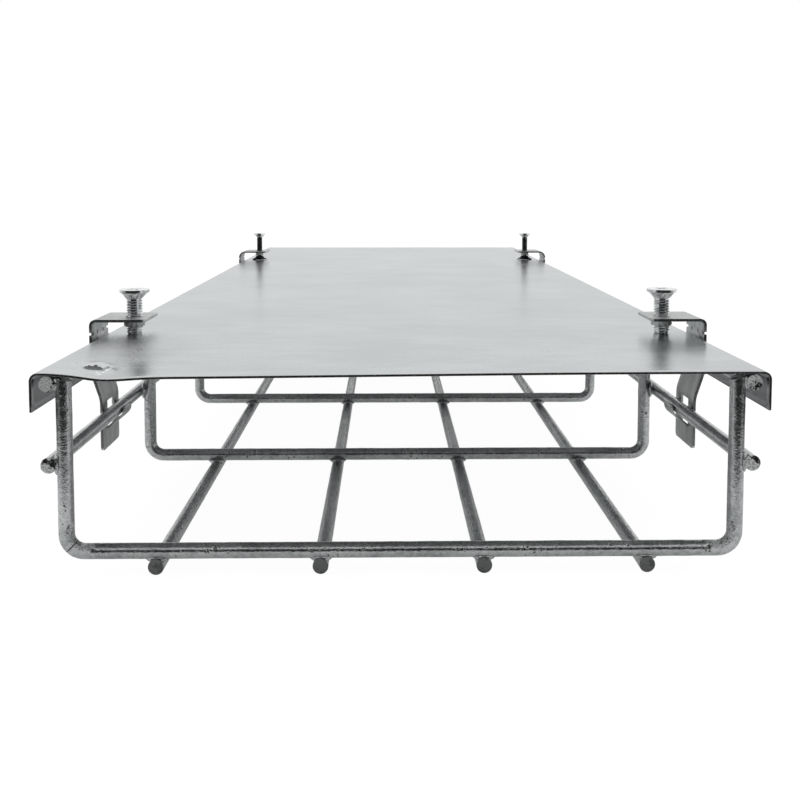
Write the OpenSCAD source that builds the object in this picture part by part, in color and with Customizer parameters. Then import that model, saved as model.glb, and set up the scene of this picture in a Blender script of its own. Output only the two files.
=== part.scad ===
// Wire mesh cable basket: a welded tray of round steel wire under a folded sheet cover.
// Four bent straps hook under the side wires, and each one's screw bears on the cover.
// Origin: on the ground, at the middle of the tray's length and width. +Y runs along the
// tray, from the front end to the rear end, and +Z is up. All sizes are in millimetres.

/* [Tray] */
// Length of the tray, from cut end to cut end of its long wires
tray_len = 550; // [508:1:640]
// Distance between the two legs of a cross wire, axis to axis
leg_spacing = 205; // [160:1:320]
// Height of the rim wires' top above the ground
rim_top = 61.3; // [50:0.1:90]
// Height of the side wires' axis above the ground
side_wire_height = 34; // [26:0.5:38]

/* [Wires and welds] */
// Diameter of every wire
wire_d = 5; // [4:0.1:6]
// Depth to which two wires sink into each other at a weld
weld_sink = 0.8; // [0.2:0.1:1.5]
// Inside radius of the bend between a cross wire's floor and its leg
wire_bend_r = 3; // [2:0.5:8]
// Slant of a leg's cut top end, in degrees
leg_cut_angle = 22; // [0:1:35]

/* [Mesh] */
// Spacing of the cross wires
cross_pitch = 100; // [80:1:100]
// Spacing of the floor wires
floor_pitch = 50; // [30:1:56]

/* [Cover] */
// Length by which the cover runs past each end of the tray
cover_overhang = 0; // [0:0.5:40]
// Thickness of the cover's sheet
cover_t = 0.8; // [0.6:0.1:1.5]
// Depth of the cover's side flanges, from its top face
cover_flange = 12; // [8:0.5:16]
// Inside radius of the fold between the cover's top and its flanges
cover_fold_r = 1.7; // [0.5:0.1:3]
// Gap between a rim wire and the flange beside it
cover_side_gap = 2; // [0.5:0.1:4]
// Zinc film between the rim wires and the cover that lies on them
cover_seat_gap = 0.1; // [0.05:0.05:0.3]

/* [Clamp straps] */
// Thickness of the strap
strap_t = 1; // [0.8:0.1:1.5]
// Width of the strap, along the tray
strap_w = 20; // [16:1:30]
// Inside radius of the fold at a front strap's tab
front_fold_r = 1.3; // [0.8:0.1:4]
// Inside radius of the fold at a rear strap's tab, which is bent more gently
rear_fold_r = 3.5; // [0.8:0.1:4]
// Gap between the cover's flange and the strap's leg
strap_gap = 1; // [0.5:0.1:3]
// Height of the tab's underside above the cover
tab_lift = 5.8; // [5:0.1:9]
// Reach of the tab, from the leg's outer face to its free end
tab_reach = 20.5; // [17:0.5:30]
// Drop from the flange's lower edge to where the leg leans in
lean_drop = 0.4; // [0:0.1:3]
// Height of the lean's lower end above the side wire's axis
lean_foot = 5; // [4:0.5:8]
// Length of the tongue below the side wire's axis
tongue_drop = 14; // [9:0.5:16]
// Radius of the strap's trimmed corners
strap_corner_r = 1.5; // [0.5:0.5:4]
// Distance from the front cross wire to the middle of the front clamps
front_clamp_offset = 70; // [20:1:80]
// Distance from the fifth cross wire to the middle of the rear clamps
rear_clamp_offset = 14; // [14:1:60]

/* [Clamp fingers] */
// Width of the finger lanced out of the tongue
finger_w = 8; // [5:0.5:12]
// Clearance between the side wire and the strap or the finger that hooks it
hook_clear = 0.3; // [0.2:0.05:0.5]
// Width of the shear cut on each side of the finger
lance_gap = 0.3; // [0.1:0.1:1]
// Height of the finger's root below the side wire's axis
finger_root_drop = 7; // [6:0.5:8]
// Height of the finger's tip above the side wire's axis
finger_tip_rise = 0.8; // [0:0.1:2]

/* [Bend-line perforation] */
// Height of the perforation above the cover
perforation_lift = 1.4; // [1:0.1:3]
// Diameter of the round holes
perforation_d = 1.6; // [1:0.1:2.5]
// Height of the notch in each edge
notch_h = 1; // [0.5:0.1:2]
// Depth of the notch in each edge
notch_depth = 2.4; // [1:0.1:4]

/* [Screws] */
// Outside diameter of a front screw's thread
front_screw_d = 6; // [4:0.5:6]
// Outside diameter of a rear screw's thread
rear_screw_d = 4; // [3:0.5:5]
// Overall length of a screw
screw_len = 17; // [16:1:30]
// Diameter of a front screw's countersunk head
front_head_d = 11.3; // [9:0.1:13]
// Diameter of a rear screw's countersunk head
rear_head_d = 8; // [7:0.1:10]
// Height of the head's upright rim
head_rim = 0.4; // [0.2:0.1:1]
// Height of the bevel at the screw's tip
tip_bevel = 0.6; // [0.3:0.1:1]
// Distance from the tab's free end to the screw's axis
screw_inset = 6.5; // [5.5:0.5:9]
// Radial clearance between the screw and its collar
screw_clear = 0.05; // [0.02:0.01:0.1]
// Height of the collar drawn down round the screw
collar_h = 2.6; // [1:0.1:4]
// Wall of the collar at its root, under the tab
collar_root_wall = 0.95; // [0.6:0.05:1.5]
// Wall of the collar at its mouth
collar_mouth_wall = 0.5; // [0.3:0.05:1]
// Length of one slot of the cross recess, as a share of the head's diameter
recess_share = 0.55; // [0.4:0.05:0.6]
// Width of one slot of the cross recess
recess_w = 1; // [0.8:0.1:1.6]
// Depth of the cross recess
recess_depth = 1.6; // [1:0.1:1.8]

/* [Foot washers] */
// Diameter of a foot washer at the cover
foot_d = 11.5; // [10:0.5:16]
// Diameter of the flat top of a foot washer
foot_top_d = 5.6; // [5:0.1:8]
// Height of a foot washer
foot_h = 2.8; // [1.5:0.1:3.2]
// Thickness of a foot washer's sheet
foot_t = 0.8; // [0.5:0.1:1]

/* [Hidden] */

$fn = 48;
cross_count = 6;
floor_count = 4;
left = -1;
right = 1;
slack = 1;                       // how far a cutter runs past the face that it cuts

wire_r = wire_d / 2;
weld_pitch = wire_d - weld_sink; // distance between the axes of two welded wires
leg_x = leg_spacing / 2;
cross_z = wire_r + weld_pitch;
side_x = leg_x + weld_pitch;
rim_z = rim_top - wire_r;
bend_r = wire_bend_r + wire_r;   // radius of the bend, on the wire's axis

cover_len = tray_len + 2 * cover_overhang;
cover_top = rim_top + cover_seat_gap + cover_t;
cover_x = side_x + wire_r + cover_side_gap + cover_t;
flange_foot = cover_top - cover_flange;

strap_out_x = cover_x + strap_gap + strap_t;
leg_mid_x = strap_out_x - strap_t / 2;
tongue_mid_x = side_x + wire_r + hook_clear + strap_t / 2;
tab_z = cover_top + tab_lift;
tab_end_x = strap_out_x - tab_reach;
hook_r = wire_r + hook_clear + strap_t / 2;
screw_x = tab_end_x + screw_inset;

// Place of cross wire i along the tray. The first one is flush with the front end.
function cross_y(i) = wire_r - tray_len / 2 + (i - 1) * cross_pitch;
front_clamp_y = cross_y(1) + front_clamp_offset;
rear_clamp_y = cross_y(5) + rear_clamp_offset;

// Angle of the direction from point a to point b
function bearing(a, b) = atan2(b[1] - a[1], b[0] - a[0]);
// Turn at point b on the way from a to c, between -180 and 180 degrees
function turn(a, b, c) = let (d = bearing(b, c) - bearing(a, b)) d - 360 * round(d / 360);
// Length that a bend of radius r, turning by the angle a, takes from each of its two straights
function trim(a, r) = r * tan(abs(a) / 2);

// Bend of a strip of thickness t and width w: it starts at the origin, heading along +X
module strip_bend(angle, r, t, w)
    mirror([0, angle < 0 ? 1 : 0, 0]) translate([0, r, 0]) rotate(-90)
        rotate_extrude(angle = abs(angle)) translate([r - t / 2, 0]) square([t, w]);

// Strip from the origin along +X: straights of the given lengths with a bend after each.
// Every stretch starts where the one before it ends, and Z runs across the strip.
module strip_chain(lengths, angles, radii, t, w, i = 0) {
    translate([0, -t / 2, 0]) cube([lengths[i], t, w]);
    if (i < len(angles)) translate([lengths[i], 0, 0]) {
        strip_bend(angles[i], radii[i], t, w);
        pivot = [0, sign(angles[i]) * radii[i], 0];
        if (i + 1 < len(lengths))
            translate(pivot) rotate(angles[i]) translate(-pivot)
                strip_chain(lengths, angles, radii, t, w, i + 1);
    }
}

// Sheet or strap of thickness t and width w, folded along a path drawn in X and Z.
// Each inner point of the path has one inside radius, and Y is the middle of the width.
module folded_strip(path, radii, t, w) {
    last = len(path) - 1;
    mid = [for (r = radii) r + t / 2];
    angles = [for (i = [1 : last - 1]) turn(path[i - 1], path[i], path[i + 1])];
    trims = [0, for (i = [0 : last - 2]) trim(angles[i], mid[i]), 0];
    lengths = [for (i = [0 : last - 1]) norm(path[i + 1] - path[i]) - trims[i] - trims[i + 1]];
    translate([path[0][0], w / 2, path[0][1]]) rotate([90, 0, 0]) rotate(bearing(path[0], path[1]))
        strip_chain(lengths, angles, mid, t, w);
}

// Round wire along Y, from cut end to cut end
module long_wire(x, z)
    translate([x, tray_len / 2, z]) rotate([90, 0, 0]) cylinder(r = wire_r, h = tray_len);

// Upright leg of a cross wire, from its bend to its slanted top, which rises outwards
module leg(side) {
    foot = cross_z + bend_r;
    difference() {
        translate([side * leg_x, 0, foot]) cylinder(r = wire_r, h = rim_top - foot);
        translate([side * (leg_x + wire_r), 0, rim_top])
            rotate([0, side * -leg_cut_angle, 0])
                translate([-wire_d * 2, -wire_d, 0]) cube([wire_d * 4, wire_d * 2, wire_d * 2]);
    }
}

// Quarter bend between a cross wire's floor and its leg
module corner_bend(side)
    translate([side * (leg_x - bend_r), 0, cross_z + bend_r])
        rotate([90, 0, 0]) rotate(side > 0 ? -90 : 180)
            rotate_extrude(angle = 90) translate([bend_r, 0]) circle(wire_r);

// One cross wire: a flat floor, two bends and two legs, drawn at Y = 0
module cross_wire_shape() {
    floor_len = leg_spacing - 2 * bend_r;
    translate([-floor_len / 2, 0, cross_z]) rotate([0, 90, 0]) cylinder(r = wire_r, h = floor_len);
    for (side = [left, right]) {
        leg(side);
        corner_bend(side);
    }
}

module cross_wire(i) color("lightslategray") translate([0, cross_y(i), 0]) cross_wire_shape();

// Bar of each cross wire's floor, as a cutter for the saddles of the floor wires
module floor_saddles(x)
    for (i = [1 : cross_count])
        translate([x - wire_d, cross_y(i), cross_z]) rotate([0, 90, 0]) cylinder(r = wire_r, h = 2 * wire_d);

// Leg of each cross wire, as a cutter for the saddles of the side and rim wires
module leg_saddles(side)
    for (i = [1 : cross_count]) translate([0, cross_y(i), 0]) leg(side);

// Floor wires lie under the cross wires and are saddled where the two are welded
module floor_wire(i) {
    x = (i - (floor_count + 1) / 2) * floor_pitch;
    color("slategray") difference() {
        long_wire(x, wire_r);
        floor_saddles(x);
    }
}

// Side and rim wires run along the outside of the legs
module wall_wire(side, z)
    color("slategray") difference() {
        long_wire(side * side_x, z);
        leg_saddles(side);
    }

// Cover: a flat sheet with both long edges folded down over the rim wires
module cover() {
    mid_x = cover_x - cover_t / 2;
    mid_z = cover_top - cover_t / 2;
    outline = [[-mid_x, flange_foot], [-mid_x, mid_z], [mid_x, mid_z], [mid_x, flange_foot]];
    color("lightgray") folded_strip(outline, [cover_fold_r, cover_fold_r], cover_t, cover_len);
}

// Tab and the fold of inside radius fold_r at its outer end, down to where the leg starts
module tab_and_fold(fold_r) {
    mid_r = fold_r + strap_t / 2;
    translate([tab_end_x, strap_w / 2, tab_z + strap_t / 2]) rotate([90, 0, 0])
        strip_chain([leg_mid_x - tab_end_x - mid_r], [-90], [mid_r], strap_t, strap_w);
}

// Side view of one face of the leg, from its top at leg_top down to the tongue's foot.
// offset is the distance of that face from the strap's middle, outwards. The lean turns by
// lean_angle at each end, so its corners are mitred.
lean_top = flange_foot - lean_drop;
lean_low = side_wire_height + lean_foot;
lean_angle = atan2(leg_mid_x - tongue_mid_x, lean_top - lean_low);
function leg_face(offset, leg_top) =
    let (mitre = offset * tan(lean_angle / 2)) [
        [leg_mid_x + offset, leg_top],
        [leg_mid_x + offset, lean_top - mitre],
        [tongue_mid_x + offset, lean_low + mitre],
        [tongue_mid_x + offset, side_wire_height - tongue_drop]
    ];

// Leg, lean and tongue of a strap, under a fold of inside radius fold_r
module leg_and_tongue(fold_r)
    translate([0, strap_w / 2, 0]) rotate([90, 0, 0]) linear_extrude(strap_w)
        polygon(concat(leg_face(strap_t / 2, tab_z - fold_r),
                       reversed(leg_face(-strap_t / 2, tab_z - fold_r))));

function reversed(points) = [for (i = [len(points) - 1 : -1 : 0]) points[i]];

// The finger leaves the tongue at its root, runs straight under the side wire and meets the
// curl round the wire where the curl's angle, seen from the wire's axis, is curl_start
finger_root_z = side_wire_height - finger_root_drop;
curl_start = -2 * atan(finger_root_drop / hook_r);
curl_end = -180 - asin(finger_tip_rise / hook_r);
curl_steps = 8;
// Flat length of the finger, which is the height of the window that it leaves
finger_len = finger_root_drop + hook_r * (curl_start - curl_end) * PI / 180;

// Side view of one face of the finger, from the tongue to its tip.
// offset is the distance of that face from the finger's middle, away from the wire.
function finger_face(offset) =
    let (r = hook_r + offset,
         mitre = offset * tan(curl_start / 2 + 90)) concat(
        [[tongue_mid_x - offset, finger_root_z - strap_t],
         [tongue_mid_x - offset, finger_root_z - mitre]],
        [for (i = [0 : curl_steps])
            let (a = curl_start + (curl_end - curl_start) * i / curl_steps)
            [side_x + r * cos(a), side_wire_height + r * sin(a)]]);

// Trims a square corner at the origin, with the plate on the +X and +Y sides, to radius r
module corner_trim(r, depth)
    translate([0, 0, -depth / 2]) linear_extrude(depth) difference() {
        translate([-slack, -slack]) square(r + slack);
        translate([r, r]) circle(r);
    }

// Window that the finger leaves in the tongue
module lance_window() {
    w = finger_w + 2 * lance_gap;
    translate([tongue_mid_x - strap_t / 2 - slack / 4, -w / 2, finger_root_z])
        cube([strap_t + slack, w, finger_len]);
}

// Row of holes between two edge notches, across the leg just above the cover
module perforation() {
    z = cover_top + perforation_lift;
    for (s = [-1, 1]) {
        translate([strap_out_x + slack, s * strap_w / 6, z])
            rotate([0, -90, 0]) cylinder(d = perforation_d, h = strap_t + 2 * slack);
        translate([strap_out_x - strap_t - slack, s * (strap_w / 2 - notch_depth / 2 + slack / 2), z])
            translate([0, -(notch_depth + slack) / 2, -notch_h / 2])
                cube([strap_t + 2 * slack, notch_depth + slack, notch_h]);
    }
}

// Trimmed corners at the tab's free end and at the tongue's foot
module strap_corners() {
    foot_z = side_wire_height - tongue_drop;
    for (s = [-1, 1]) {
        translate([tab_end_x, s * strap_w / 2, tab_z]) mirror([0, s > 0 ? 1 : 0, 0])
            corner_trim(strap_corner_r, 4 * strap_t);
        translate([tongue_mid_x, s * strap_w / 2, foot_z]) mirror([0, s > 0 ? 1 : 0, 0])
            rotate([90, 0, 90]) corner_trim(strap_corner_r, 4 * strap_t);
    }
}

// Finger: a straight from the tongue, a curl round the side wire and a rounded tip
module finger() {
    tip_z = side_wire_height + finger_tip_rise;
    tip_r = finger_w * 0.4;
    difference() {
        translate([0, finger_w / 2, 0]) rotate([90, 0, 0]) linear_extrude(finger_w)
            polygon(concat(finger_face(strap_t / 2), reversed(finger_face(-strap_t / 2))));
        for (s = [-1, 1])
            translate([side_x - hook_r, s * finger_w / 2, tip_z]) mirror([0, s > 0 ? 1 : 0, 0])
                rotate([90, 0, 90]) mirror([0, 1, 0]) corner_trim(tip_r, 4 * strap_t);
    }
}

// Clamp for the right side, drawn at Y = 0, with a fold of inside radius fold_r
module clamp_shape(fold_r, screw_d) {
    bore_r = screw_d / 2 + screw_clear;
    difference() {
        union() {
            difference() {
                union() {
                    tab_and_fold(fold_r);
                    leg_and_tongue(fold_r);
                }
                lance_window();
                perforation();
                strap_corners();
            }
            finger();
            translate([screw_x, 0, tab_z - collar_h])
                cylinder(r1 = bore_r + collar_mouth_wall, r2 = bore_r + collar_root_wall, h = collar_h);
        }
        translate([screw_x, 0, tab_z - collar_h - slack])
            cylinder(r = bore_r, h = collar_h + strap_t + 2 * slack);
    }
}

// Puts a shape drawn for the right side at Y = 0 on either side, at y along the tray
module on_side(side, y) translate([0, y, 0]) mirror([side < 0 ? 1 : 0, 0, 0]) children();

module front_clamp(side)
    color("silver") on_side(side, front_clamp_y) clamp_shape(front_fold_r, front_screw_d);
module rear_clamp(side)
    color("silver") on_side(side, rear_clamp_y) clamp_shape(rear_fold_r, rear_screw_d);

// Countersunk machine screw with a cross recess, its tip at z = foot
module screw_shape(foot, screw_d, head_d) {
    top = foot + screw_len;
    tip_r = screw_d / 2 - tip_bevel;
    head_h = (head_d - screw_d) / 2 + head_rim;
    recess_len = head_d * recess_share;
    translate([screw_x, 0, 0]) difference() {
        union() {
            translate([0, 0, foot]) cylinder(r1 = tip_r, r2 = screw_d / 2, h = tip_bevel);
            translate([0, 0, foot + tip_bevel])
                cylinder(d = screw_d, h = screw_len - tip_bevel - head_h);
            translate([0, 0, top - head_h]) cylinder(d1 = screw_d, d2 = head_d, h = head_h - head_rim);
            translate([0, 0, top - head_rim]) cylinder(d = head_d, h = head_rim);
        }
        for (a = [45, 135])
            translate([0, 0, top - recess_depth]) rotate(a)
                translate([-recess_len / 2, -recess_w / 2, 0])
                    cube([recess_len, recess_w, recess_depth + slack]);
    }
}

module front_screw(side)
    color("gainsboro") on_side(side, front_clamp_y)
        screw_shape(cover_top, front_screw_d, front_head_d);
module rear_screw(side)
    color("gainsboro") on_side(side, rear_clamp_y)
        screw_shape(cover_top + foot_h, rear_screw_d, rear_head_d);

// Foot washer: a low pressed cone that spreads the load of a rear screw on the cover
module foot_washer_shape() {
    hollow_d = foot_d - 3 * foot_t;
    translate([screw_x, 0, cover_top]) difference() {
        cylinder(d1 = foot_d, d2 = foot_top_d, h = foot_h);
        translate([0, 0, -slack]) cylinder(d = hollow_d, h = slack);
        cylinder(d1 = hollow_d, d2 = foot_top_d - foot_t, h = foot_h - foot_t);
    }
}

module foot_washer(side) color("darkgray") on_side(side, rear_clamp_y) foot_washer_shape();

for (i = [1 : cross_count])
    cross_wire(i);
for (i = [1 : floor_count])
    floor_wire(i);
wall_wire(left, side_wire_height);  // side_wire_left
wall_wire(right, side_wire_height);  // side_wire_right
wall_wire(left, rim_z);  // rim_wire_left
wall_wire(right, rim_z);  // rim_wire_right
cover();
front_clamp(left);  // clamp_front_left
front_clamp(right);  // clamp_front_right
rear_clamp(left);  // clamp_rear_left
rear_clamp(right);  // clamp_rear_right
front_screw(left);  // screw_front_left
front_screw(right);  // screw_front_right
rear_screw(left);  // screw_rear_left
rear_screw(right);  // screw_rear_right
foot_washer(left);  // foot_washer_left
foot_washer(right);  // foot_washer_right
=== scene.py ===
"""Wire mesh cable basket: the dressed model of a covered cable tray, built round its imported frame.

Every piece is modelled in metres, in the frame's own axes: +Y runs along the tray from its front
end, +Z is up, and the ground is at z = 0.
"""

import logging
import math
from collections.abc import Callable, Iterator, Sequence
from contextlib import contextmanager
from dataclasses import dataclass, field
from enum import Enum
from typing import Any

import bmesh
import bpy
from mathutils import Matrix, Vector


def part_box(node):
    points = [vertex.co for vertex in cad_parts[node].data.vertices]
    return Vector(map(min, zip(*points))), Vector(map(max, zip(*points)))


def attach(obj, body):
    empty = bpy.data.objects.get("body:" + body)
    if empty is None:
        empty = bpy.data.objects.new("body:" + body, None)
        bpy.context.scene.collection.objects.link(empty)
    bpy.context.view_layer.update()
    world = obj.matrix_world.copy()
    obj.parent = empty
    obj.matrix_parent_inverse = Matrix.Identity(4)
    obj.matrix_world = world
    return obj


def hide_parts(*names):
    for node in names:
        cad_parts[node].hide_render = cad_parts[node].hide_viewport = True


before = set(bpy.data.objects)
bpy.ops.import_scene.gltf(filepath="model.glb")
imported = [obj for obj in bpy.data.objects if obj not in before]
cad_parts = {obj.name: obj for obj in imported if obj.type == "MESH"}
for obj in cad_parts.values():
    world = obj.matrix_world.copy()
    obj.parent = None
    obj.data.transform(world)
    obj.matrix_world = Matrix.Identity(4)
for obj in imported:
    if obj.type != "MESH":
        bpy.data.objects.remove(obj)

log = logging.getLogger("cable_basket")

MM = 0.001
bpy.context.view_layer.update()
# Bisect snaps to within 0.1 mm of its plane by itself, which leaves forms this small open.
FINE_CUT = 1e-7

Point = tuple[float, float, float]
Piece = bpy.types.Object


class Side(Enum):
    """A long side of the tray."""

    LEFT = -1
    RIGHT = 1

    @property
    def word(self) -> str:
        """Name of the side as the frame's nodes write it."""
        return self.name.lower()


class End(Enum):
    """An end of the tray."""

    FRONT = "front"
    REAR = "rear"


class Slot(Enum):
    """Material slots of the record."""

    WIRE = "galvanised_wire"
    SHEET = "galvanised_sheet"
    STRAP = "zinc_strap"
    SCREW = "bright_zinc"


# ---------------------------------------------------------------- modelling bench


class Bench:
    """Hand modelling with operators, on one object at a time."""

    @staticmethod
    def clear() -> None:
        """Leave edit mode and deselect everything."""
        if bpy.context.object is not None and bpy.context.object.mode != "OBJECT":
            bpy.ops.object.mode_set(mode="OBJECT")
        bpy.ops.object.select_all(action="DESELECT")

    @staticmethod
    def take(piece: Piece) -> None:
        """Select one piece alone and make it the active one."""
        Bench.clear()
        piece.select_set(True)
        bpy.context.view_layer.objects.active = piece

    @staticmethod
    def name(piece: Piece, name: str) -> Piece:
        """Name a piece and its mesh alike."""
        piece.name = name
        piece.data.name = name
        return piece

    @staticmethod
    @contextmanager
    def editing(piece: Piece, parts: str = "VERT") -> Iterator[None]:
        """Work on a piece in edit mode.

        Args:
            piece: The piece to edit.
            parts: What is selected by, VERT, EDGE or FACE.
        """
        Bench.take(piece)
        bpy.ops.object.mode_set(mode="EDIT")
        bpy.ops.mesh.select_mode(type=parts)
        yield
        bpy.ops.object.mode_set(mode="OBJECT")

    @staticmethod
    def pick(test: Callable[[Vector], bool], parts: str = "VERT") -> None:
        """Select the parts of the mesh in edit mode that pass a test on their middle.

        Args:
            test: Takes the middle of a vertex, edge or face.
            parts: VERT, EDGE or FACE.
        """
        bpy.ops.mesh.select_mode(type=parts)
        mesh = bpy.context.object.data
        work = bmesh.from_edit_mesh(mesh)
        for group in (work.faces, work.edges, work.verts):
            for part in group:
                part.select = False
        group = {"VERT": work.verts, "EDGE": work.edges, "FACE": work.faces}[parts]
        for part in group:
            if parts == "VERT":
                middle = part.co
            elif parts == "EDGE":
                middle = (part.verts[0].co + part.verts[1].co) / 2
            else:
                middle = part.calc_center_median()
            if test(middle):
                part.select_set(True)
        work.select_flush_mode()
        bmesh.update_edit_mesh(mesh)

    @staticmethod
    def pull(by: Point, steps: int = 1) -> None:
        """Extrude what is selected by a vector, in equal steps."""
        share = tuple(value / steps for value in by)
        for _ in range(steps):
            bpy.ops.mesh.extrude_region_move(TRANSFORM_OT_translate={"value": share})

    @staticmethod
    def clean(piece: Piece, distance: float = 1e-6) -> Piece:
        """Merge a piece's doubles and turn its faces outwards."""
        with Bench.editing(piece):
            bpy.ops.mesh.select_all(action="SELECT")
            bpy.ops.mesh.remove_doubles(threshold=distance)
        return Bench.face_out(piece)

    @staticmethod
    def face_out(piece: Piece) -> Piece:
        """Turn a piece's faces outwards."""
        with Bench.editing(piece):
            bpy.ops.mesh.select_all(action="SELECT")
            bpy.ops.mesh.normals_make_consistent(inside=False)
        return piece

    @staticmethod
    def place(piece: Piece) -> Piece:
        """Put a piece's place, turn and scale into its mesh."""
        Bench.take(piece)
        bpy.ops.object.transform_apply(location=True, rotation=True, scale=True)
        return piece

    @staticmethod
    def copy(piece: Piece, name: str, shift: Point = (0, 0, 0), mirrored: bool = False) -> Piece:
        """Copy a piece with a mesh of its own.

        Args:
            piece: The piece to copy.
            name: Name of the copy.
            shift: How far the copy is moved, after it is mirrored.
            mirrored: Whether the copy is mirrored from right to left.

        Returns:
            The copy, at the origin.
        """
        Bench.take(piece)
        bpy.ops.object.duplicate()
        twin = Bench.name(bpy.context.object, name)
        if mirrored:
            twin.scale.x = -1
        twin.location = shift
        Bench.place(twin)
        return Bench.face_out(twin) if mirrored else twin

    @staticmethod
    def join(pieces: Sequence[Piece], name: str) -> Piece:
        """Join several pieces into the first of them."""
        Bench.clear()
        for piece in pieces:
            piece.select_set(True)
        bpy.context.view_layer.objects.active = pieces[0]
        if len(pieces) > 1:
            bpy.ops.object.join()
        return Bench.name(pieces[0], name)

    @staticmethod
    def modify(piece: Piece, kind: str, **settings: Any) -> Piece:
        """Add a modifier with these settings and apply it."""
        Bench.take(piece)
        modifier = piece.modifiers.new(kind.lower(), kind)
        for key, value in settings.items():
            setattr(modifier, key, value)
        bpy.ops.object.modifier_apply(modifier=modifier.name)
        return piece

    @staticmethod
    def combine(piece: Piece, other: Piece, operation: str) -> Piece:
        """Add, cut or intersect a piece with another one, which is used up."""
        Bench.modify(piece, "BOOLEAN", operation=operation, object=other, solver="EXACT")
        bpy.data.objects.remove(other)
        return piece

    @staticmethod
    def shade(piece: Piece, angle: float) -> Piece:
        """Shade a piece smooth, apart from edges sharper than an angle in degrees."""
        Bench.take(piece)
        bpy.ops.object.shade_smooth_by_angle(angle=math.radians(angle))
        return piece

    @staticmethod
    def soften(piece: Piece, width: float, segments: int = 2, angle: float = 40) -> Piece:
        """Round the sharp edges of a piece and shade the rest smooth."""
        Bench.modify(
            piece, "BEVEL", width=width, segments=segments, limit_method="ANGLE",
            angle_limit=math.radians(angle), harden_normals=False, use_clamp_overlap=True,
        )
        return Bench.shade(piece, angle)

    @staticmethod
    def point(at: Point, name: str) -> Piece:
        """Start a piece as one vertex."""
        Bench.clear()
        bpy.ops.mesh.primitive_plane_add(size=MM, location=at)
        piece = Bench.name(bpy.context.object, name)
        Bench.place(piece)
        with Bench.editing(piece):
            bpy.ops.mesh.select_all(action="SELECT")
            bpy.ops.mesh.merge(type="CENTER")
        return piece

    @staticmethod
    def outline(points: Sequence[tuple[float, float]], name: str) -> Piece:
        """Draw a chain of edges in the X and Z plane through these points."""
        piece = Bench.point((points[0][0], 0, points[0][1]), name)
        with Bench.editing(piece):
            bpy.ops.mesh.select_all(action="SELECT")
            for (x0, z0), (x1, z1) in zip(points, points[1:]):
                Bench.pull((x1 - x0, 0, z1 - z0))
        return piece

    @staticmethod
    def turned(points: Sequence[tuple[float, float]], name: str, steps: int = 48) -> Piece:
        """Turn an outline of radius and height round the Z axis, as on a lathe.

        Args:
            points: Pairs of radius and height. Both ends are on the axis, or the last point
                repeats the first.
            name: Name of the piece.
            steps: Faces round the axis.

        Returns:
            A closed piece round the Z axis.
        """
        piece = Bench.outline(points, name)
        with Bench.editing(piece):
            bpy.ops.mesh.select_all(action="SELECT")
            bpy.ops.mesh.spin(
                steps=steps, angle=math.tau, center=(0, 0, 0), axis=(0, 0, 1), use_auto_merge=False
            )
        return Bench.clean(piece)

    @staticmethod
    def sink(piece: Piece, name: str, depth: float, share: Callable[[Vector], float]) -> Piece:
        """Lower a piece's surface by a depth, times a share from 0 to 1 at each point."""
        group = piece.vertex_groups.new(name=name)
        for vertex in piece.data.vertices:
            weight = share(vertex.co)
            if weight > 0:
                group.add([vertex.index], min(weight, 1.0), "REPLACE")
        Bench.modify(
            piece, "DISPLACE", strength=-depth, mid_level=0.0, direction="Z", vertex_group=name
        )
        piece.vertex_groups.clear()
        return piece

    @staticmethod
    def roughen(piece: Piece, depth: float, grain: float) -> Piece:
        """Move a piece's surface inwards by a cloudy noise.

        Args:
            piece: The piece.
            depth: Distance between the deepest and the highest place.
            grain: Size of the noise's lumps.

        Returns:
            The same piece.
        """
        noise = bpy.data.textures.new("lumps", "CLOUDS")
        noise.noise_scale = grain
        noise.noise_depth = 2
        Bench.modify(
            piece, "DISPLACE", texture=noise, texture_coords="LOCAL", strength=depth, mid_level=1.0
        )
        bpy.data.textures.remove(noise)
        return piece

    @staticmethod
    def dress(piece: Piece, *materials: bpy.types.Material) -> Piece:
        """Give a piece its materials, in the order of its slots."""
        piece.data.materials.clear()
        for material in materials:
            piece.data.materials.append(material)
        return piece

    @staticmethod
    def paint(piece: Piece, index: int, test: Callable[[Vector, Vector], bool]) -> Piece:
        """Give one of the piece's materials to the faces that pass a test.

        Args:
            piece: The piece.
            index: Number of the material slot.
            test: Takes a face's middle and its normal.
        """
        for face in piece.data.polygons:
            if test(face.center, face.normal):
                face.material_index = index
        return piece


def ramp(low: float, high: float, value: float) -> float:
    """0 at low, 1 at high, and a smooth rise between them."""
    share = min(max((value - low) / (high - low), 0.0), 1.0)
    return share * share * (3 - 2 * share)


# ---------------------------------------------------------------- shader maths


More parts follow.
